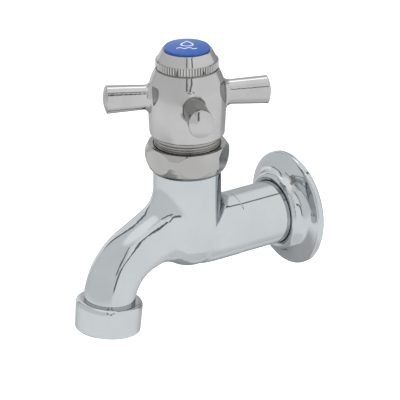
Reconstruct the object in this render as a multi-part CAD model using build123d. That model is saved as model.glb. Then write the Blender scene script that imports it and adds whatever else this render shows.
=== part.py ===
from build123d import *
import math
import os

# Hose bib, in millimetres. Origin: centre of the inlet mouth on the wall plane.
# +Y runs into the wall, -Y towards the user, +Z up. The valve axis is vertical.

# ---------------------------------------------------------------- main sizes
VALVE_Y = -57.5          # valve axis, from the wall
BARREL_R = 14.5          # outside of the inlet barrel
CAST_R = BARREL_R + 0.12  # outside of the cast part of the barrel
CAST_Y = -33.5           # where the turned barrel ends
NOSE_Y = -46.0           # where the underside starts to rise
NOSE_LEN = 30.0          # length of the rounded nose under the valve
NECK_R = 15.2            # outside of the vertical neck
BULB_DEPTH = 13.4        # depth of the rounded foot of the neck
NECK_TOP = 32.75         # joint face between body and bonnet
SPOUT_R = 11.6           # outside of the spout tube
SPOUT_TILT = 25.0        # slope of the straight run of the spout, degrees
SPOUT_BEND_R = 25.0      # centreline radius of the down-turn
OUTLET_Y = -100.5        # middle of the outlet mouth
OUTLET_Z = -34.15
OUTLET_LEAN = 5.0        # the outlet points this far forward of straight down
COLLAR_R = 15.0          # outlet collar, at its shoulder
COLLAR_FOOT_R = 14.7     # outlet collar, at its foot
COLLAR_H = 13.7
REAR_BLEND_R = 6.0       # fillet between neck and barrel
SPOUT_BLEND_R = 14.0     # fillet between neck and spout

# waterways
INLET_R = 9.9            # plain stand-in for the pipe thread
INLET_LEN = 18.0
PASSAGE_R = 7.0
LOWER_Z = -4.5           # centre of the chamber under the seat
FLOOR_Z = 7.0            # floor of the chamber over the seat
CHAMBER_R = 11.2
SPOUT_BORE_R = 6.6
# growth of the spout over its tube, from the valve outwards: up, down, sideways
SPOUT_GROWTH = ((7.5, 4.0, 1.8), (4.6, 1.8, 1.2), (2.2, 0.7, 0.6), (0.7, 0.2, 0.15))
SPOUT_BORE_TILT = 31.0
OUTLET_R = 9.0
OUTLET_LEN = 9.5

# seat
SEAT_THREAD_R = 6.25
SEAT_HOLE_Z = 1.5
PORT_R = 5.0
SEAT_BORE_R = 4.0
SEAT_LIP_Z = 9.2

# bonnet
BONNET_AF = 34.6
BONNET_TOP = 45.1
BONNET_CORNER_R = 18.85
BONNET_TURN = 7.8        # angle of one hexagon corner from +X, degrees
BONNET_THREAD_R = 12.25
BONNET_FOOT = 21.0
RECESS_R = 15.2          # open top of the bonnet
RECESS_Z = 43.3

# stem and packing
STEM_THREAD_R = 6.95
STEM_FOOT = 14.45
STEM_STEP = 31.0
STEM_R = 5.0
STEM_SHOULDER = 59.5
STEM_TOP = 69.7
SQUARE = 7.4             # drive square
PACKING_R = 9.5
PACKING_Z = 36.7
NUT_R = 14.75
NUT_TOP = 56.0

# handle
HANDLE_FOOT = 49.9
ARM_Z = 67.75
ARM_TIP = 36.15
ARM_TURN = 65.72         # angle of the first arm from +X, degrees
ARM_W = (9.6, 10.8)      # width at root and tip
ARM_H = (10.9, 12.7)     # height at root and tip
HUB_TOP = 80.5
SCREW_SEAT = 70.4
CAP_THREAD_R = 11.0

# index cap
KNURL_TOP = 84.8
KNURL_R = 13.95
KNURL_TEETH = 66
CAP_TOP = 89.2
DISC_R = 10.2
DISC_STEM_R = DISC_R - 2.35
CAP_RIM_R = DISC_R + 0.7
KNURL_ROOT_R = KNURL_R - 0.65

# wall flange
FLANGE_R = 26.3
FLANGE_SLIP = 0.3        # radial gap between flange and barrel
FLANGE_BORE_R = BARREL_R + FLANGE_SLIP
FLANGE_DEPTH = 11.2

FIT = 0.05               # radial running clearance


# ------------------------------------------------------------------- helpers
def at_valve(shape, z=0.0):
    return Pos(0, VALVE_Y, z) * shape


def turned(points):
    """Solid turned about +Z from a closed outline of (radius, height) points."""
    outline = Polyline([(r, 0, z) for r, z in points], close=True)
    return revolve(make_face(outline), Axis.Z)


def ring(r_in, r_out, z0, z1):
    return turned([(r_in, z0), (r_out, z0), (r_out, z1), (r_in, z1)])


def rod(r, z0, z1):
    return Pos(0, 0, (z0 + z1) / 2) * Cylinder(r, z1 - z0)


def y_rod(r, y0, y1):
    return Pos(0, (y0 + y1) / 2, 0) * Rot(90, 0, 0) * Cylinder(r, abs(y1 - y0))


def soften(solid, edges, radii):
    """Round the edges with the first radius of the list that the solid takes."""
    for radius in radii:
        try:
            result = fillet(edges, radius)
        except Exception:
            continue
        if result.is_valid and result.volume > 0:
            return result
    return solid


def bend_centre():
    """Centre of the down-turn, from the outlet mouth back up its leaning axis."""
    lean = math.radians(OUTLET_LEAN)
    y = OUTLET_Y + COLLAR_H * math.sin(lean) + SPOUT_BEND_R * math.cos(lean)
    z = OUTLET_Z + COLLAR_H * math.cos(lean) - SPOUT_BEND_R * math.sin(lean)
    return y, z


def bend_point(slope):
    """Point of the down-turn's centreline where it slopes down by this much."""
    s = math.radians(slope)
    y, z = bend_centre()
    return y - SPOUT_BEND_R * math.sin(s), z + SPOUT_BEND_R * math.cos(s)


def spout_start(tilt):
    y, z = bend_point(tilt)
    return VALVE_Y, z + (VALVE_Y - y) * math.tan(math.radians(tilt))


def spout_stations(tilt, runs, bends):
    """(y, z, slope) along the centreline: runs by fraction, bends by fraction."""
    p0 = spout_start(tilt)
    p1 = bend_point(tilt)
    stations = []
    for f in runs:
        stations.append((p0[0] + f * (p1[0] - p0[0]), p0[1] + f * (p1[1] - p0[1]), tilt))
    for f in bends:
        slope = tilt + f * (90.0 - OUTLET_LEAN - tilt)
        y, z = bend_point(slope)
        stations.append((y, z, slope))
    return stations


def across(y, z, slope):
    """Plane square to the spout: local x is world X, local y points up the spout's back."""
    s = math.radians(slope)
    return Plane(origin=(0, y, z), x_dir=(1, 0, 0), z_dir=(0, math.cos(s), math.sin(s)))


# ---------------------------------------------------------------- faucet body
def spout_outside():
    runs = (0.0, 0.3, 0.55, 0.8)
    bends = (0.0, 0.17, 0.34, 0.5, 0.67, 0.84, 1.0)
    faces = []
    for i, (y, z, slope) in enumerate(spout_stations(SPOUT_TILT, runs, bends)):
        rise, drop, wide = SPOUT_GROWTH[i] if i < len(SPOUT_GROWTH) else (0.0, 0.0, 0.0)
        section = Pos(0, (rise - drop) / 2, 0) * Ellipse(SPOUT_R + wide, SPOUT_R + (rise + drop) / 2)
        faces.append(across(y, z, slope) * section)
    return loft(faces)


def spout_waterway():
    p0 = spout_start(SPOUT_BORE_TILT)
    p1 = bend_point(SPOUT_BORE_TILT)
    end_slope = 90.0 - OUTLET_LEAN
    mid = bend_point((SPOUT_BORE_TILT + end_slope) / 2)
    end = bend_point(end_slope)
    lean = math.radians(OUTLET_LEAN)
    below = (end[0] - 6 * math.sin(lean), end[1] - 6 * math.cos(lean))
    run = Line((0, *p0), (0, *p1))
    bend = ThreePointArc((0, *p1), (0, *mid), (0, *end))
    drop = Line((0, *end), (0, *below))
    start = across(p0[0], p0[1], SPOUT_BORE_TILT) * Circle(SPOUT_BORE_R)
    return sweep(start, path=Wire([run, bend, drop]))


def barrel_outside():
    """Barrel with a long rounded nose, turned about the inlet axis (+Z is towards the user)."""
    nose_z = -NOSE_Y
    cast_z = -CAST_Y
    points = []
    for i in range(9):
        a = math.radians(90 * i / 8)
        points.append((CAST_R * math.cos(a), 0, nose_z + NOSE_LEN * math.sin(a)))
    nose = Spline(points, tangents=[(0, 0, 1), (-1, 0, 0)])
    edges = [Line((0, 0, 0), (BARREL_R, 0, 0)), Line((BARREL_R, 0, 0), (BARREL_R, 0, cast_z)),
             Line((BARREL_R, 0, cast_z), (CAST_R, 0, cast_z + 0.5)),
             Line((CAST_R, 0, cast_z + 0.5), (CAST_R, 0, nose_z)), nose,
             Line((0, 0, nose_z + NOSE_LEN), (0, 0, 0))]
    return Rot(90, 0, 0) * revolve(make_face(edges), Axis.Z)


def neck_outside():
    points = []
    for i in range(7):
        a = math.radians(90 * i / 6)
        points.append((NECK_R * math.sin(a), 0, -BULB_DEPTH * math.cos(a)))
    foot = Spline(points, tangents=[(1, 0, 0), (0, 0, 1)])
    wall = Line((NECK_R, 0, 0), (NECK_R, 0, NECK_TOP))
    lid = Line((NECK_R, 0, NECK_TOP), (0, 0, NECK_TOP))
    axis = Line((0, 0, NECK_TOP), (0, 0, -BULB_DEPTH))
    return at_valve(revolve(make_face([foot, wall, lid, axis]), Axis.Z))


def at_outlet(shape):
    """Place a shape whose own origin is the outlet mouth, with +Z back up the outlet."""
    return Pos(0, OUTLET_Y, OUTLET_Z) * Rot(-OUTLET_LEAN, 0, 0) * shape


def outlet_collar():
    shoulder = 2.1
    foot = 0.7
    k = 1 - math.sqrt(0.5)
    s1 = (COLLAR_R - shoulder, 0, COLLAR_H)
    s2 = (COLLAR_R - shoulder * k, 0, COLLAR_H - shoulder * k)
    s3 = (COLLAR_R, 0, COLLAR_H - shoulder)
    f1 = (COLLAR_FOOT_R, 0, foot)
    f2 = (COLLAR_FOOT_R - foot * k, 0, foot * k)
    f3 = (COLLAR_FOOT_R - foot, 0, 0)
    edges = [Line((0, 0, COLLAR_H), s1), ThreePointArc(s1, s2, s3), Line(s3, f1),
             ThreePointArc(f1, f2, f3), Line(f3, (0, 0, 0)), Line((0, 0, 0), (0, 0, COLLAR_H))]
    return at_outlet(revolve(make_face(edges), Axis.Z))


def blended(first, second, radius):
    """Join two solids and round the edges between them, or None if they don't take it."""
    whole = first + second
    try:
        result = fillet(new_edges(first, second, combined=whole), radius)
    except Exception:
        return None
    return result if result.is_valid and result.volume > 0 else None


def body_outside():
    barrel = barrel_outside()
    neck = neck_outside()
    spout = spout_outside()
    for rear in (REAR_BLEND_R, REAR_BLEND_R * 1.2, REAR_BLEND_R * 0.8, REAR_BLEND_R * 0.5):
        trunk = blended(barrel, neck, rear)
        if trunk is None:
            continue
        for front in (SPOUT_BLEND_R, SPOUT_BLEND_R * 1.15, SPOUT_BLEND_R * 0.8, SPOUT_BLEND_R * 0.6):
            whole = blended(trunk, spout, front)
            if whole is not None:
                return whole + outlet_collar()
    return barrel + neck + spout + outlet_collar()


def waterways():
    lower = (0, VALVE_Y, LOWER_Z)
    inlet_end = (0, -INLET_LEN + 1, 0)
    duct_len = math.dist(inlet_end, lower)
    slope = math.degrees(math.atan2(LOWER_Z, VALVE_Y + INLET_LEN - 1))
    duct = Pos(*inlet_end) * Rot(slope + 180, 0, 0) * Rot(90, 0, 0) * Cylinder(
        PASSAGE_R, duct_len, align=(Align.CENTER, Align.CENTER, Align.MIN))
    cuts = [y_rod(INLET_R, 1, -INLET_LEN), duct, Pos(*lower) * Sphere(PASSAGE_R)]
    cuts.append(at_valve(rod(PORT_R, LOWER_Z, SEAT_HOLE_Z + 0.1)))
    cuts.append(at_valve(rod(SEAT_THREAD_R, SEAT_HOLE_Z, FLOOR_Z + 0.1)))
    cuts.append(at_valve(rod(CHAMBER_R, FLOOR_Z, BONNET_FOOT)))
    cuts.append(at_valve(rod(BONNET_THREAD_R, BONNET_FOOT - 1.5, NECK_TOP + 1)))
    cuts.append(at_valve(rod(13.9, NECK_TOP - 1.25, NECK_TOP + 1)))
    cuts.append(spout_waterway())
    cuts.append(at_outlet(rod(OUTLET_R, -1, OUTLET_LEN)))
    return cuts


def faucet_body():
    body = body_outside()
    for cut in waterways():
        body = body - cut
    return body


# ---------------------------------------------------------------- wall flange
def wall_flange():
    lip = FLANGE_BORE_R + 1.5
    outline = [
        Line((FLANGE_BORE_R, 0, 0), (FLANGE_R - 1.0, 0, 0)),
        Line((FLANGE_R - 1.0, 0, 0), (FLANGE_R, 0, 1.0)),
        Line((FLANGE_R, 0, 1.0), (FLANGE_R, 0, 2.3)),
        ThreePointArc((FLANGE_R, 0, 2.3), (FLANGE_R - 0.3, 0, 3.2), (FLANGE_R - 1.1, 0, 3.7)),
        Spline([(FLANGE_R - 1.1, 0, 3.7), (FLANGE_R - 4.3, 0, 4.8), (lip + 3.3, 0, 6.4),
                (lip + 1.9, 0, FLANGE_DEPTH - 2.3)],
               tangents=[(-1, 0, 0.25), (-0.45, 0, 1)]),
        ThreePointArc((lip + 1.9, 0, FLANGE_DEPTH - 2.3), (lip + 1.25, 0, FLANGE_DEPTH - 0.85),
                      (lip, 0, FLANGE_DEPTH)),
        Line((lip, 0, FLANGE_DEPTH), (FLANGE_BORE_R, 0, FLANGE_DEPTH - 0.6)),
        Line((FLANGE_BORE_R, 0, FLANGE_DEPTH - 0.6), (FLANGE_BORE_R, 0, 0)),
    ]
    blank = revolve(make_face(outline), Axis.Z)
    blank = blank - ring(FLANGE_BORE_R - 1, FLANGE_BORE_R + 1.75, 3.4, 5.6)
    return Rot(90, 0, 0) * blank


def flange_o_ring():
    return Rot(90, 0, 0) * Pos(0, 0, 4.5) * Torus(BARREL_R + 1.0 + 0.02, 1.0)


# ----------------------------------------------------------------------- seat
def seat_insert():
    outline = [(SEAT_BORE_R, 2.55), (SEAT_THREAD_R - FIT, 2.55), (SEAT_THREAD_R - FIT, FLOOR_Z),
               (7.8, FLOOR_Z), (7.8, 8.0), (6.4, 8.2), (5.7, SEAT_LIP_Z), (5.0, SEAT_LIP_Z),
               (SEAT_BORE_R, 8.4)]
    return at_valve(turned(outline))


def seat_gasket():
    return at_valve(ring(PORT_R + 0.1, SEAT_THREAD_R - 0.1, SEAT_HOLE_Z, 2.55))


def seat_washer():
    return at_valve(turned([(2.2, SEAT_LIP_Z), (7.0, SEAT_LIP_Z), (7.4, SEAT_LIP_Z + 0.4),
                            (7.4, 12.2), (2.2, 12.2)]))


def disc_holder():
    outline = [(0, 12.2), (7.4, 12.2), (7.4, 10.2), (8.6, 10.2), (8.6, 13.6), (8.0, 14.2), (3.2, 14.2),
               (3.2, 19.0), (2.5, 19.0), (2.5, 20.05), (3.2, 20.05), (3.2, 21.2), (2.6, 21.8), (0, 21.8)]
    return at_valve(turned(outline) - rod(2.15, 12.0, 18.2))


def holder_clip():
    clip = ring(2.5, 3.6, 19.05, 20.0) - Pos(3, 0, 19.5) * Box(4, 1.6, 3)
    return at_valve(clip)


def washer_screw():
    outline = [(0, 8.0), (2.6, 8.0), (3.3, 8.5), (3.3, SEAT_LIP_Z), (2.1, SEAT_LIP_Z), (2.1, 17.2),
               (1.5, 17.8), (0, 17.8)]
    slot = Pos(0, 0, 8.2) * Box(8, 0.9, 1.0)
    return at_valve(turned(outline) - slot)


# --------------------------------------------------------------------- bonnet
def hex_bonnet():
    hexagon = RegularPolygon(BONNET_AF / 2 / math.cos(math.radians(30)), 6)
    prism = Rot(0, 0, BONNET_TURN) * extrude(hexagon, 60)
    envelope = turned([(0, NECK_TOP), (15.9, NECK_TOP), (17.3, 34.5), (18.25, 36.8), (BONNET_CORNER_R, 39.2),
                       (BONNET_CORNER_R, 42.7), (17.3, BONNET_TOP), (0, BONNET_TOP)])
    head = prism & envelope
    shank = turned([(0, BONNET_FOOT), (BONNET_THREAD_R - FIT - 0.8, BONNET_FOOT),
                    (BONNET_THREAD_R - FIT, BONNET_FOOT + 0.8), (BONNET_THREAD_R - FIT, 30.2),
                    (BONNET_THREAD_R - 0.9, 30.6), (BONNET_THREAD_R - 0.9, NECK_TOP + 0.5), (0, NECK_TOP + 0.5)])
    bonnet = head + shank
    bonnet = bonnet - rod(RECESS_R, RECESS_Z, BONNET_TOP + 1)
    bonnet = bonnet - rod(PACKING_R, PACKING_Z, BONNET_TOP)
    bonnet = bonnet - rod(STEM_R + 0.06, BONNET_FOOT, BONNET_TOP)
    bonnet = bonnet - rod(STEM_THREAD_R + FIT, BONNET_FOOT - 1, 35.2)
    return at_valve(bonnet)


def bonnet_gasket():
    return at_valve(ring(BONNET_THREAD_R - 0.7, 13.8, NECK_TOP - 1.25, NECK_TOP))


def packing_washer():
    return at_valve(ring(STEM_R + 0.3, PACKING_R - 0.1, PACKING_Z, PACKING_Z + 1.2))


def stem_packing():
    z0 = PACKING_Z + 1.2
    return at_valve(turned([(STEM_R + FIT, z0), (PACKING_R - FIT, z0), (PACKING_R - FIT, 41.0),
                            (STEM_R + FIT + 1.2, 41.9), (STEM_R + FIT, 41.9)]))


def packing_nut():
    z0 = 41.0
    outline = [(STEM_R + 0.3, 42.0), (STEM_R + FIT + 1.2, 41.9), (PACKING_R - FIT, z0),
               (PACKING_R - FIT, RECESS_Z + 0.1), (NUT_R - 0.5, RECESS_Z + 0.1), (NUT_R, RECESS_Z + 0.6)]
    for z in (45.55, 46.75, 47.95):
        outline += [(NUT_R, z - 0.3), (NUT_R - 0.38, z), (NUT_R, z + 0.3)]
    outline += [(NUT_R, NUT_TOP - 0.6), (NUT_R - 0.6, NUT_TOP), (NUT_R - 3.0, NUT_TOP),
                (NUT_R - 3.0, 47.5), (STEM_R + 0.3, 47.5)]
    return at_valve(turned(outline))


# ----------------------------------------------------------------------- stem
def stem():
    outline = [(3.25, STEM_FOOT), (STEM_THREAD_R - 0.6, STEM_FOOT), (STEM_THREAD_R, STEM_FOOT + 0.6),
               (STEM_THREAD_R, STEM_STEP - 0.8), (STEM_R, STEM_STEP + 0.2), (STEM_R, STEM_SHOULDER),
               (0, STEM_SHOULDER), (0, 22.6), (3.25, 22.6), (3.25, 20.1), (3.65, 20.1), (3.65, 18.95),
               (3.25, 18.95)]
    body = turned(outline)
    length = STEM_TOP - STEM_SHOULDER
    square = Pos(0, 0, STEM_SHOULDER + length / 2) * Rot(0, 0, ARM_TURN) * Box(SQUARE, SQUARE, length)
    square = square & turned([(0, STEM_SHOULDER), (STEM_R, STEM_SHOULDER), (STEM_R, STEM_TOP - 0.7),
                              (STEM_R - 0.7, STEM_TOP), (0, STEM_TOP)])
    return at_valve(body + square - rod(2.45, 58.6, STEM_TOP + 1))


# --------------------------------------------------------------------- handle
def hub_outside():
    edge = ThreePointArc((15.9, 0, HANDLE_FOOT), (16.45, 0, HANDLE_FOOT + 0.22), (16.72, 0, HANDLE_FOOT + 0.75))
    wall = Spline([(16.72, 0, HANDLE_FOOT + 0.75), (17.05, 0, 56.0), (17.3, 0, 63.0), (17.15, 0, 70.5),
                   (16.05, 0, 75.6), (14.0, 0, HUB_TOP)], tangents=[(0.1, 0, 1), (-0.42, 0, 1)])
    lid = Line((14.0, 0, HUB_TOP), (0, 0, HUB_TOP))
    axis = Line((0, 0, HUB_TOP), (0, 0, HANDLE_FOOT))
    base = Line((0, 0, HANDLE_FOOT), (15.9, 0, HANDLE_FOOT))
    return revolve(make_face([edge, wall, lid, axis, base]), Axis.Z)


def arm_outside():
    """One arm along +X: a slot section that flares outwards, with a domed end."""
    stations = (8.0, 38.5)
    root = 16.5
    rate_w = (ARM_W[1] - ARM_W[0]) / (ARM_TIP - root)
    rate_h = (ARM_H[1] - ARM_H[0]) / (ARM_TIP - root)
    faces = []
    for x in stations:
        w = ARM_W[0] + rate_w * (x - root)
        h = ARM_H[0] + rate_h * (x - root)
        plane = Plane(origin=(x, 0, 0), x_dir=(0, 0, 1), z_dir=(1, 0, 0))
        faces.append(plane * SlotOverall(h, w))
    bar = loft(faces)
    dome_r = 15.0
    tip = Pos(ARM_TIP + 1.2 - dome_r, 0, 0) * Sphere(dome_r)
    arm = bar & tip
    rim = [e for e in arm.edges() if e.center().X > ARM_TIP - 1.5 and e.bounding_box().size.X < 3]
    return soften(arm, rim, (0.45, 0.3, 0.2))


def cross_handle():
    hub = hub_outside()
    arms = [Pos(0, 0, ARM_Z) * Rot(0, 0, ARM_TURN + 90 * i) * arm_outside() for i in range(4)]
    whole = hub
    for arm in arms:
        whole = whole + arm
    roots = new_edges(hub, *arms, combined=whole)
    whole = soften(whole, roots, (2.8, 2.2, 1.6, 1.0))
    bore = Pos(0, 0, 65) * Rot(0, 0, ARM_TURN) * Box(SQUARE + 0.1, SQUARE + 0.1, 20)
    bore = bore & rod(STEM_R + FIT, 55, 75)
    whole = whole - turned([(0, HANDLE_FOOT - 1), (15.5, HANDLE_FOOT - 1), (15.5, 58.3), (14.3, STEM_SHOULDER),
                            (0, STEM_SHOULDER)])
    whole = whole - rod(7.0, SCREW_SEAT, HUB_TOP)
    whole = whole - rod(CAP_THREAD_R, 76.0, HUB_TOP + 1)
    return at_valve(whole - bore)


def handle_lock_washer():
    washer = ring(2.6, 4.9, SCREW_SEAT, SCREW_SEAT + 1.1)
    return at_valve(washer - Pos(4, 0, SCREW_SEAT + 0.5) * Rot(25, 0, 0) * Box(4.5, 0.5, 4))


def handle_screw():
    z0 = SCREW_SEAT + 1.1
    outline = [(0, 59.4), (1.8, 59.4), (2.4, 60.0), (2.4, z0), (5.2, z0), (5.2, z0 + 1.2), (4.4, z0 + 2.5),
               (2.6, z0 + 3.1), (0, z0 + 3.2)]
    screw = turned(outline)
    for turn in (0, 90):
        screw = screw - Pos(0, 0, z0 + 3.0) * Rot(0, 0, turn) * Box(5.6, 1.1, 3.2)
    return at_valve(screw)


# ------------------------------------------------------------------ index cap
def index_cap():
    star = []
    for i in range(KNURL_TEETH * 2):
        a = math.pi * i / KNURL_TEETH
        r = KNURL_R if i % 2 == 0 else KNURL_R - 0.42
        star.append((r * math.cos(a), r * math.sin(a), 0))
    z0 = HUB_TOP + 0.45
    teeth = Pos(0, 0, z0) * extrude(make_face(Polyline(star, close=True)), KNURL_TOP - z0)
    teeth = teeth & turned([(0, z0), (KNURL_R - 0.55, z0), (KNURL_R, z0 + 0.5), (KNURL_R, KNURL_TOP - 0.45),
                            (KNURL_R - 0.5, KNURL_TOP), (0, KNURL_TOP)])
    core = [(0, 76.3), (CAP_THREAD_R - FIT - 0.5, 76.3), (CAP_THREAD_R - FIT, 76.8),
            (CAP_THREAD_R - FIT, HUB_TOP), (KNURL_ROOT_R - 0.15, HUB_TOP), (KNURL_ROOT_R, z0 + 0.2),
            (KNURL_ROOT_R, KNURL_TOP + 0.2),
            (KNURL_ROOT_R - 0.25, KNURL_TOP + 0.55), (CAP_RIM_R + 0.25, CAP_TOP - 0.3), (CAP_RIM_R, CAP_TOP),
            (0, CAP_TOP)]
    cap = turned(core) + teeth
    cap = cap - rod(DISC_R + FIT, CAP_TOP - 2.2, CAP_TOP + 1)
    cap = cap - rod(DISC_STEM_R + 0.15, 80, CAP_TOP)
    cap = cap - rod(DISC_STEM_R + 1.35, 76, CAP_TOP - 4.2)
    return at_valve(cap)


def index_disc():
    rim = CAP_TOP + 1.1
    edge_r = DISC_R - 0.55
    rise = 0.65
    dome_r = (edge_r ** 2 + rise ** 2) / (2 * rise)
    half_r = edge_r / 2
    half_z = rim + rise - dome_r + math.sqrt(dome_r ** 2 - half_r ** 2)
    top = ThreePointArc((edge_r, 0, rim), (half_r, 0, half_z), (0, 0, rim + rise))
    foot, seat = CAP_TOP - 5.8, CAP_TOP - 2.2
    edges = [Line((0, 0, foot), (DISC_STEM_R, 0, foot)), Line((DISC_STEM_R, 0, foot), (DISC_STEM_R, 0, seat)),
             Line((DISC_STEM_R, 0, seat), (DISC_R, 0, seat)), Line((DISC_R, 0, seat), (DISC_R, 0, rim - 0.5)),
             ThreePointArc((DISC_R, 0, rim - 0.5), (DISC_R - 0.16, 0, rim - 0.13), (edge_r, 0, rim)), top,
             Line((0, 0, rim + rise), (0, 0, foot))]
    return at_valve(revolve(make_face(edges), Axis.Z))


def disc_retainer():
    clip = ring(DISC_STEM_R + 0.02, DISC_STEM_R + 1.25, CAP_TOP - 5.2, CAP_TOP - 4.2)
    return at_valve(clip - Pos(DISC_STEM_R + 0.65, 0, CAP_TOP - 4.7) * Box(4, 3.0, 3))


PARTS = {
    "faucet_body": faucet_body,
    "wall_flange": wall_flange,
    "flange_o_ring": flange_o_ring,
    "seat_insert": seat_insert,
    "seat_gasket": seat_gasket,
    "seat_washer": seat_washer,
    "disc_holder": disc_holder,
    "holder_clip": holder_clip,
    "washer_screw": washer_screw,
    "hex_bonnet": hex_bonnet,
    "bonnet_gasket": bonnet_gasket,
    "packing_washer": packing_washer,
    "stem_packing": stem_packing,
    "packing_nut": packing_nut,
    "stem": stem,
    "cross_handle": cross_handle,
    "handle_lock_washer": handle_lock_washer,
    "handle_screw": handle_screw,
    "index_cap": index_cap,
    "index_disc": index_disc,
    "disc_retainer": disc_retainer,
}

os.makedirs("parts", exist_ok=True)
for name, make in PARTS.items():
    shape = make()
    export_step(shape, f"parts/{name}.step")
    print(name, len(shape.solids()), round(shape.volume, 1), shape.is_valid)
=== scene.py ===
"""Looks for the hose bib: materials, fine details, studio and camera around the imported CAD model."""
import math

import bmesh
import bpy
from mathutils import Matrix, Vector


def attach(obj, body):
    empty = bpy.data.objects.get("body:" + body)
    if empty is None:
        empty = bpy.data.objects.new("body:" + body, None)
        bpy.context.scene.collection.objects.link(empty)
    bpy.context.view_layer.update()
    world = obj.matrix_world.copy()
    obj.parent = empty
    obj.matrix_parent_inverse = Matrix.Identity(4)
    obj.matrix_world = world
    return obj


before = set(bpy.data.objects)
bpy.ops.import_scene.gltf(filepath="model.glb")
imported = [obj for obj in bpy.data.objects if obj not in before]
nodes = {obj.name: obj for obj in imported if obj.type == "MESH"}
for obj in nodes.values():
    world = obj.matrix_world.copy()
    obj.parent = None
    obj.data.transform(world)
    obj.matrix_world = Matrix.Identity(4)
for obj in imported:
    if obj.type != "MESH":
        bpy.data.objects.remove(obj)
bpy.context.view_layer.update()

AXIS_Y = -0.0575      # the valve's upright axis, x = 0
MARK_TURN = 55.0      # how far the mark on the button is turned, degrees
TABLE_Z = -0.35       # height of the studio floor
# the knurl's grooves, darkened with painted shade: inner and outer radius, bottom and top
KNURL_GROOVE = (0.01352, 0.01384, 0.0811, 0.0847)

# the inlet's pipe thread, metres
THREAD_BORE_R = 0.0099
THREAD_DEPTH = 0.0009
THREAD_PITCH = 0.00181
THREAD_LENGTH = 0.0145
THREAD_START_Y = -0.0012
THREAD_FADE_TURNS = 0.6

# ---------------------------------------------------------------- node helpers


class Tree:
    """Short names for building node trees."""

    def __init__(self, tree):
        self.t = tree
        tree.nodes.clear()

    def n(self, kind, **values):
        node = self.t.nodes.new(kind)
        for k, v in values.items():
            setattr(node, k, v)
        return node

    def link(self, a, b):
        self.t.links.new(a, b)

    def put(self, socket, value):
        if isinstance(value, bpy.types.NodeSocket):
            self.link(value, socket)
        else:
            socket.default_value = value

    def math(self, op, a, b=None, clamp=False):
        node = self.n("ShaderNodeMath", operation=op, use_clamp=clamp)
        for i, v in enumerate((a, b)):
            if v is not None:
                self.put(node.inputs[i], v)
        return node.outputs[0]

    def step(self, value, lo, hi, out_lo=0.0, out_hi=1.0):
        """Smooth change from out_lo to out_hi as value goes from lo to hi."""
        node = self.n("ShaderNodeMapRange", interpolation_type="SMOOTHSTEP")
        for k, v in (("From Min", lo), ("From Max", hi), ("To Min", out_lo), ("To Max", out_hi)):
            node.inputs[k].default_value = v
        self.put(node.inputs["Value"], value)
        return node.outputs["Result"]

    def band(self, value, lo, hi, soft):
        """1 between lo and hi, 0 outside, with soft edges."""
        return self.math("MULTIPLY", self.step(value, lo - soft, lo + soft),
                         self.step(value, hi - soft, hi + soft, 1.0, 0.0))

    def times(self, *values):
        out = values[0]
        for v in values[1:]:
            out = self.math("MULTIPLY", out, v)
        return out

    def lerp(self, a, b, f):
        """a where f is 0, b where f is 1; a and b are numbers or sockets."""
        node = self.n("ShaderNodeMix", data_type="FLOAT")
        self.put(node.inputs[0], f)
        self.put(node.inputs[2], a)
        self.put(node.inputs[3], b)
        return node.outputs[0]

    def colour(self, a, b, f):
        node = self.n("ShaderNodeMix", data_type="RGBA")
        self.put(node.inputs[0], f)
        for socket, v in ((node.inputs[6], a), (node.inputs[7], b)):
            self.put(socket, (*v, 1.0) if isinstance(v, tuple) else v)
        return node.outputs[2]

    def noise(self, where, scale, detail=2.0, rough=0.5):
        node = self.n("ShaderNodeTexNoise")
        self.link(where, node.inputs["Vector"])
        node.inputs["Scale"].default_value = scale
        node.inputs["Detail"].default_value = detail
        node.inputs["Roughness"].default_value = rough
        return node.outputs["Fac"]


def new_material(name):
    m = bpy.data.materials.new(name)
    m.use_nodes = True
    t = Tree(m.node_tree)
    shader = t.n("ShaderNodeBsdfPrincipled")
    out = t.n("ShaderNodeOutputMaterial")
    t.link(shader.outputs[0], out.inputs[0])
    where = t.n("ShaderNodeTexCoord").outputs["Object"]
    return m, t, shader, where


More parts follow.
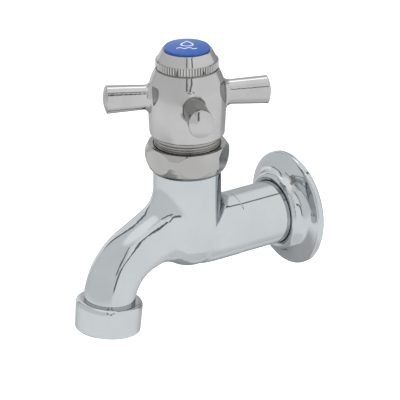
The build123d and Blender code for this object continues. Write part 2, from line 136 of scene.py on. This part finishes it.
def plated(name, bright, dull, rough=(0.03, 0.075), tint=0.62, wave=0.10,
           grain=0.0, grain_scale=(1, 1, 1), edge=0.00022, groove=None):
    """Polished plating: faint colour and gloss changes, a slight waviness left by buffing, softened edges,
    and painted shade in the grooves when groove is given.
    """
    m, t, s, where = new_material(name)
    cloud = t.noise(where, 55.0, 3.0, 0.55)
    fine = t.noise(where, 700.0, 3.0, 0.6)
    tone = t.colour(dull, bright, t.step(cloud, 0.32, 0.68))
    if groove:
        # painted shade in the grooves between two radii and two heights about the valve axis
        split = t.n("ShaderNodeSeparateXYZ")
        t.link(where, split.inputs[0])
        y = t.math("SUBTRACT", split.outputs[1], AXIS_Y)
        r = t.math("SQRT", t.math("ADD", t.math("MULTIPLY", split.outputs[0], split.outputs[0]),
                                  t.math("MULTIPLY", y, y)))
        painted_groove_shade = t.times(t.step(r, groove[0], groove[1], 1.0, 0.0),
                       t.band(split.outputs[2], groove[2], groove[3], 0.0001))
        tone = t.colour(tone, (0.10, 0.095, 0.09), t.math("MULTIPLY", painted_groove_shade, 0.8))
    t.link(tone, s.inputs["Base Color"])
    s.inputs["Metallic"].default_value = 1.0
    s.inputs["Specular Tint"].default_value = (tint, tint, tint * 1.01, 1.0)
    smear = t.math("ADD", t.math("MULTIPLY", cloud, 0.65), t.math("MULTIPLY", fine, 0.35))
    t.link(t.step(smear, 0.35, 0.65, rough[0], rough[1]), s.inputs["Roughness"])
    soft = t.n("ShaderNodeBevel", samples=6)
    soft.inputs["Radius"].default_value = edge
    swell = t.noise(where, 160.0, 1.0, 0.4)
    height = t.math("ADD", t.math("MULTIPLY", swell, 1.0), t.math("MULTIPLY", fine, 0.05))
    if grain:
        stretch = t.n("ShaderNodeMapping")
        stretch.inputs["Scale"].default_value = grain_scale
        t.link(where, stretch.inputs["Vector"])
        lines = t.noise(stretch.outputs[0], 900.0, 2.0, 0.6)
        height = t.math("ADD", height, t.math("MULTIPLY", lines, grain))
    bump = t.n("ShaderNodeBump")
    bump.inputs["Strength"].default_value = wave
    bump.inputs["Distance"].default_value = 0.00012
    t.link(height, bump.inputs["Height"])
    t.link(soft.outputs[0], bump.inputs["Normal"])
    t.link(bump.outputs[0], s.inputs["Normal"])
    return m


def rubber(name, base, base2, rough=(0.5, 0.7)):
    m, t, s, where = new_material(name)
    speck = t.noise(where, 1600.0, 4.0, 0.6)
    t.link(t.colour(base, base2, t.step(speck, 0.35, 0.65)), s.inputs["Base Color"])
    t.link(t.step(speck, 0.3, 0.7, rough[0], rough[1]), s.inputs["Roughness"])
    bump = t.n("ShaderNodeBump")
    bump.inputs["Strength"].default_value = 0.25
    bump.inputs["Distance"].default_value = 0.00005
    t.link(speck, bump.inputs["Height"])
    t.link(bump.outputs[0], s.inputs["Normal"])
    return m


def fibre(name, base, base2):
    """Pressed or braided fibre: streaks that run round the ring."""
    m, t, s, where = new_material(name)
    stretch = t.n("ShaderNodeMapping")
    stretch.inputs["Scale"].default_value = (1.0, 1.0, 4.0)
    t.link(where, stretch.inputs["Vector"])
    strand = t.noise(stretch.outputs[0], 900.0, 5.0, 0.7)
    t.link(t.colour(base, base2, t.step(strand, 0.35, 0.65)), s.inputs["Base Color"])
    t.link(t.step(strand, 0.3, 0.7, 0.75, 0.95), s.inputs["Roughness"])
    bump = t.n("ShaderNodeBump")
    bump.inputs["Strength"].default_value = 0.5
    bump.inputs["Distance"].default_value = 0.0001
    t.link(strand, bump.inputs["Height"])
    t.link(bump.outputs[0], s.inputs["Normal"])
    return m


def enamel(name):
    """The blue index button: glossy enamel, with a plain water drop over a ripple in white."""
    m, t, s, where = new_material(name)
    split = t.n("ShaderNodeSeparateXYZ")
    t.link(where, split.inputs[0])
    x, y = split.outputs[0], t.math("SUBTRACT", split.outputs[1], AXIS_Y)
    a = math.radians(MARK_TURN)
    right = t.math("ADD", t.math("MULTIPLY", x, math.cos(a)), t.math("MULTIPLY", y, math.sin(a)))
    up = t.math("ADD", t.math("MULTIPLY", x, -math.sin(a)), t.math("MULTIPLY", y, math.cos(a)))
    side = t.math("ABSOLUTE", right)

    def drop(size, centre):
        u = t.math("DIVIDE", t.math("SUBTRACT", up, centre), size)
        u = t.math("MINIMUM", t.math("MAXIMUM", u, -1.0), 1.0)
        wide = t.math("SQRT", t.math("SUBTRACT", 1.0, t.math("MULTIPLY", u, u)))
        taper = t.math("POWER", t.math("MULTIPLY", t.math("SUBTRACT", 1.0, u), 0.5), 0.75)
        half = t.times(wide, taper, size * 1.15)
        return t.step(t.math("SUBTRACT", half, side), -0.00006, 0.00006)

    outline = t.math("SUBTRACT", drop(0.0037, 0.0021), drop(0.0027, 0.0018), clamp=True)
    wavy = t.math("MULTIPLY", t.math("SINE", t.math("MULTIPLY", right, 1500.0)), 0.00055)
    off = t.math("ABSOLUTE", t.math("SUBTRACT", t.math("SUBTRACT", up, wavy), -0.0036))
    ripple = t.times(t.step(off, 0.00032, 0.00046, 1.0, 0.0), t.step(side, 0.0044, 0.0047, 1.0, 0.0))
    mark = t.math("MAXIMUM", outline, ripple)
    depth = t.noise(where, 420.0, 3.0, 0.5)
    blue = t.colour((0.012, 0.080, 0.37), (0.020, 0.102, 0.43), t.step(depth, 0.3, 0.7))
    t.link(t.colour(blue, (0.72, 0.77, 0.83), mark), s.inputs["Base Color"])
    t.link(t.step(depth, 0.3, 0.7, 0.16, 0.24), s.inputs["Roughness"])
    s.inputs["Coat Weight"].default_value = 0.12
    s.inputs["Specular IOR Level"].default_value = 0.3
    s.inputs["Coat Roughness"].default_value = 0.05
    s.inputs["IOR"].default_value = 1.48
    bump = t.n("ShaderNodeBump")
    bump.inputs["Strength"].default_value = 0.2
    bump.inputs["Distance"].default_value = 0.00006
    t.link(t.math("ADD", t.math("MULTIPLY", depth, 0.3), mark), bump.inputs["Height"])
    t.link(bump.outputs[0], s.inputs["Normal"])
    return m


# ---------------------------------------------------------------- materials

chrome = plated("chrome_body", (0.60, 0.625, 0.64), (0.565, 0.59, 0.605), rough=(0.03, 0.07))
chrome_flange = plated("chrome_flange", (0.585, 0.61, 0.63), (0.55, 0.575, 0.595),
                       rough=(0.035, 0.08))
chrome_handle = plated("chrome_handle", (0.545, 0.54, 0.53), (0.495, 0.49, 0.48), rough=(0.045, 0.10),
                       wave=0.16)
# the cap's knurl grooves get painted shade through groove
chrome_cap = plated("chrome_cap", (0.56, 0.555, 0.545), (0.51, 0.505, 0.495), rough=(0.05, 0.10),
                    groove=KNURL_GROOVE, edge=0.0001)
nickel = plated("nickel_bonnet", (0.50, 0.49, 0.475), (0.44, 0.43, 0.415), rough=(0.10, 0.18), wave=0.16,
                grain=0.35, grain_scale=(1, 1, 6))
# the packing nut's darker base colour is painted shade from the handle's hub above it; its grain and
# roughness are the nut's own finish
nickel_nut_painted_shade = plated("nickel_nut_painted_shade", (0.40, 0.39, 0.37), (0.33, 0.32, 0.305), rough=(0.12, 0.2), wave=0.14,
                    grain=0.4, grain_scale=(1, 1, 8))
brass = plated("raw_brass", (0.78, 0.56, 0.26), (0.66, 0.45, 0.19), rough=(0.16, 0.30), tint=0.9, wave=0.2,
               grain=0.5, grain_scale=(1, 1, 7))
steel = plated("steel", (0.50, 0.50, 0.51), (0.40, 0.40, 0.41), rough=(0.16, 0.28), wave=0.15)
black = rubber("black_rubber", (0.012, 0.012, 0.013), (0.028, 0.028, 0.03))
red_fibre = fibre("fibre_gasket", (0.20, 0.055, 0.035), (0.30, 0.09, 0.055))
braid = fibre("graphite_packing", (0.035, 0.035, 0.038), (0.10, 0.10, 0.105))
blue_enamel = enamel("blue_enamel")

FINISH = {
    "faucet_body": chrome, "wall_flange": chrome_flange, "flange_o_ring": black,
    "seat_insert": brass, "seat_gasket": red_fibre, "seat_washer": black, "disc_holder": brass,
    "holder_clip": steel, "washer_screw": steel, "hex_bonnet": nickel, "bonnet_gasket": red_fibre,
    "packing_washer": brass, "stem_packing": braid, "packing_nut": nickel_nut_painted_shade, "stem": brass,
    "cross_handle": chrome_handle, "handle_lock_washer": steel, "handle_screw": steel,
    "index_cap": chrome_cap, "index_disc": blue_enamel, "disc_retainer": steel,
}
for name, node in nodes.items():
    finish = FINISH[name]
    if not node.material_slots:
        node.data.materials.append(finish)
    for s in node.material_slots:
        s.material = finish

# ---------------------------------------------------------------- inlet pipe thread (seen from the wall side)


def helix_thread(name, radius, depth, pitch, length, start, end_fade):
    """A V-shaped ridge that winds round a bore along +Y, standing depth proud of its wall."""
    per_turn, turns = 72, length / pitch
    count = int(per_turn * turns)
    bm = bmesh.new()
    rows = []
    for i in range(count + 1):
        f = i / per_turn
        a = 2 * math.pi * f
        y = start - f * pitch
        fade = min(1.0, i / (per_turn * end_fade), (count - i) / (per_turn * end_fade))
        d = depth * max(fade, 0.02)
        row = []
        foot, crest = radius + 0.00005, radius - d
        for off, r in ((-0.49, foot), (-0.07, crest), (0.07, crest), (0.49, foot)):
            along = y + off * pitch * (0.25 + 0.75 * max(fade, 0.1))
            row.append(bm.verts.new((r * math.cos(a), along, r * math.sin(a))))
        rows.append(row)
    for p, q in zip(rows, rows[1:]):
        for k in range(3):
            bm.faces.new((p[k], p[k + 1], q[k + 1], q[k]))
        bm.faces.new((p[3], p[0], q[0], q[3]))
    bm.faces.new(list(reversed(rows[0])))
    bm.faces.new(rows[-1])
    bmesh.ops.recalc_face_normals(bm, faces=bm.faces)
    mesh = bpy.data.meshes.new(name)
    bm.to_mesh(mesh)
    bm.free()
    for p in mesh.polygons:
        p.use_smooth = False
    o = bpy.data.objects.new(name, mesh)
    bpy.context.scene.collection.objects.link(o)
    return o


thread = helix_thread("inlet_thread", THREAD_BORE_R, THREAD_DEPTH, THREAD_PITCH, THREAD_LENGTH,
                      THREAD_START_Y, THREAD_FADE_TURNS)
thread.data.materials.append(chrome)
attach(thread, "valve_body")

# ---------------------------------------------------------------- studio

scene = bpy.context.scene
scene.view_settings.view_transform = "Standard"
scene.view_settings.look = "None"
scene.view_settings.exposure = 0.0
scene.view_settings.gamma = 1.0

world = bpy.data.worlds.new("studio")
scene.world = world
world.use_nodes = True
w = Tree(world.node_tree)
ray = w.n("ShaderNodeTexCoord").outputs["Generated"]
axes = w.n("ShaderNodeSeparateXYZ")
w.link(ray, axes.inputs[0])
DEG = 180.0 / math.pi
az = w.math("MULTIPLY", w.math("ARCTAN2", axes.outputs[0], w.math("MULTIPLY", axes.outputs[1], -1.0)), DEG)
el = w.math("MULTIPLY", w.math("ARCSINE", axes.outputs[2]), DEG)
# white tent all round, a little less bright in front of the valve above the table line
tent = w.lerp(1.0, 0.80, w.times(w.band(az, -83.0, 64.0, 3.0), w.step(el, -22.0, -7.0)))
tent = w.lerp(tent, 1.3, w.times(w.band(az, -104.0, -86.0, 3.0), w.band(el, -12.0, 14.0, 5.0)))
# the darker room behind and to the left, over the back, and the shaded underside on the left
behind = w.math("ADD", w.step(az, -112.0, -136.0), w.step(az, 172.0, 186.0), clamp=True)
tent = w.lerp(tent, 0.57, w.times(behind, w.band(el, -25.0, 38.0, 8.0)))
tent = w.lerp(tent, 1.1, w.step(el, 62.0, 72.0))
tent = w.lerp(tent, 0.52, w.times(w.band(az, -140.0, 8.0, 14.0), w.step(el, -24.0, -38.0)))
tent = w.lerp(tent, 0.82, w.times(w.step(az, 10.0, 40.0), w.step(el, -45.0, -60.0)))
high = w.times(w.band(az, -143.0, -112.0, 2.0), w.band(el, 50.0, 67.0, 2.0))
tent = w.lerp(tent, 2.1, high)
# gaps between the panels of the tent show as fine dark lines
lean = w.math("ADD", w.step(el, 14.0, 40.0, 65.0, 80.5), w.step(el, 50.0, 57.0, 0.0, 11.0))
seam = w.times(w.step(w.math("ABSOLUTE", w.math("SUBTRACT", az, lean)), 1.5, 4.4, 1.0, 0.0),
               w.band(el, -6.0, 62.0, 3.0))
slit = w.times(w.step(w.math("ABSOLUTE", w.math("SUBTRACT", az, 55.0)), 1.4, 3.4, 1.0, 0.0),
               w.band(el, 15.0, 58.0, 2.0))
left = w.times(w.step(w.math("ABSOLUTE", w.math("ADD", az, 83.0)), 1.5, 5.0, 1.0, 0.0),
               w.band(el, 12.0, 60.0, 6.0))
rear = w.times(w.step(w.math("ABSOLUTE", w.math("SUBTRACT", az, 172.0)), 2.0, 5.5, 1.0, 0.0),
               w.band(el, 22.0, 74.0, 4.0))
gap = w.math("MAXIMUM", w.math("MAXIMUM", slit, seam), w.math("MAXIMUM", left, rear))
tent = w.lerp(tent, 0.10, w.math("MULTIPLY", gap, 0.95))
lit = w.n("ShaderNodeBackground")
shade = w.n("ShaderNodeCombineColor")
w.link(w.math("MULTIPLY", tent, 0.985), shade.inputs[0])
w.link(tent, shade.inputs[1])
w.link(w.math("MULTIPLY", tent, 1.01), shade.inputs[2])
w.link(shade.outputs[0], lit.inputs["Color"])
plain = w.n("ShaderNodeBackground")
plain.inputs["Color"].default_value = (1.0, 1.0, 1.0, 1.0)
choose = w.n("ShaderNodeMixShader")
w.link(w.n("ShaderNodeLightPath").outputs["Is Camera Ray"], choose.inputs[0])
w.link(lit.outputs[0], choose.inputs[1])
w.link(plain.outputs[0], choose.inputs[2])
w.link(choose.outputs[0], w.n("ShaderNodeOutputWorld").inputs[0])


def softbox(name, azimuth, elevation, distance, size, power):
    """A square soft light that looks at the middle of the faucet."""
    aim = Vector((0.0, -0.06, 0.03))
    a, e = math.radians(azimuth), math.radians(elevation)
    light = bpy.data.lights.new(name, "AREA")
    light.shape, light.size, light.energy = "SQUARE", size, power
    o = bpy.data.objects.new(name, light)
    o.location = aim + distance * Vector((math.sin(a) * math.cos(e), -math.cos(a) * math.cos(e), math.sin(e)))
    o.rotation_mode = "QUATERNION"
    o.rotation_quaternion = (aim - o.location).to_track_quat("-Z", "Y")
    o.visible_glossy = False
    scene.collection.objects.link(o)


softbox("key_soft", 20.0, 68.0, 1.4, 0.60, 4.0)
softbox("fill_soft", 110.0, 30.0, 1.6, 0.60, 2.5)

# a plain pale floor, well below the faucet, as it hangs on a wall
bm = bmesh.new()
bmesh.ops.create_circle(bm, cap_ends=True, radius=6.0, segments=96)
mesh = bpy.data.meshes.new("floor")
bm.to_mesh(mesh)
bm.free()
floor = bpy.data.objects.new("floor", mesh)
floor.location = (0.0, 0.0, TABLE_Z)
floor.visible_glossy = False
scene.collection.objects.link(floor)
m, t, s, where = new_material("pale_floor")
t.link(t.colour((0.90, 0.90, 0.90), (0.93, 0.93, 0.93), t.noise(where, 3.0)), s.inputs["Base Color"])
s.inputs["Roughness"].default_value = 0.9
s.inputs["Emission Color"].default_value = (1.0, 1.0, 1.0, 1.0)
s.inputs["Emission Strength"].default_value = 0.45
clear = t.n("ShaderNodeBsdfTransparent")
one_sided = t.n("ShaderNodeMixShader")
t.link(t.n("ShaderNodeNewGeometry").outputs["Backfacing"], one_sided.inputs[0])
t.link(s.outputs[0], one_sided.inputs[1])
t.link(clear.outputs[0], one_sided.inputs[2])
t.link(one_sided.outputs[0], next(n for n in m.node_tree.nodes if n.type == "OUTPUT_MATERIAL").inputs[0])
mesh.materials.append(m)

# ---------------------------------------------------------------- camera

TARGET = Vector((0.0, -0.06105, 0.02035))
CAMERA_AZIMUTH, CAMERA_ELEVATION = 55.6, 23.53     # degrees
CAMERA_DISTANCE = 1.337
CAMERA_RIGHT, CAMERA_DOWN = 0.00864, 0.00224       # shift of the frame
FOCAL_MM, SENSOR_MM = 270.0, 36.0
a, e = math.radians(CAMERA_AZIMUTH), math.radians(CAMERA_ELEVATION)
back = Vector((math.sin(a) * math.cos(e), -math.cos(a) * math.cos(e), math.sin(e)))
right = Vector((math.cos(a), math.sin(a), 0.0))
up = back.cross(right)
place = TARGET + back * CAMERA_DISTANCE + right * CAMERA_RIGHT - up * CAMERA_DOWN
lens = bpy.data.cameras.new("camera")
lens.lens, lens.sensor_width = FOCAL_MM, SENSOR_MM
lens.clip_start, lens.clip_end = 0.05, 50.0
camera = bpy.data.objects.new("camera", lens)
camera.matrix_world = Matrix((
    (right.x, up.x, back.x, place.x),
    (right.y, up.y, back.y, place.y),
    (right.z, up.z, back.z, place.z),
    (0.0, 0.0, 0.0, 1.0)))
scene.collection.objects.link(camera)
scene.camera = camera

bpy.context.view_layer.update()
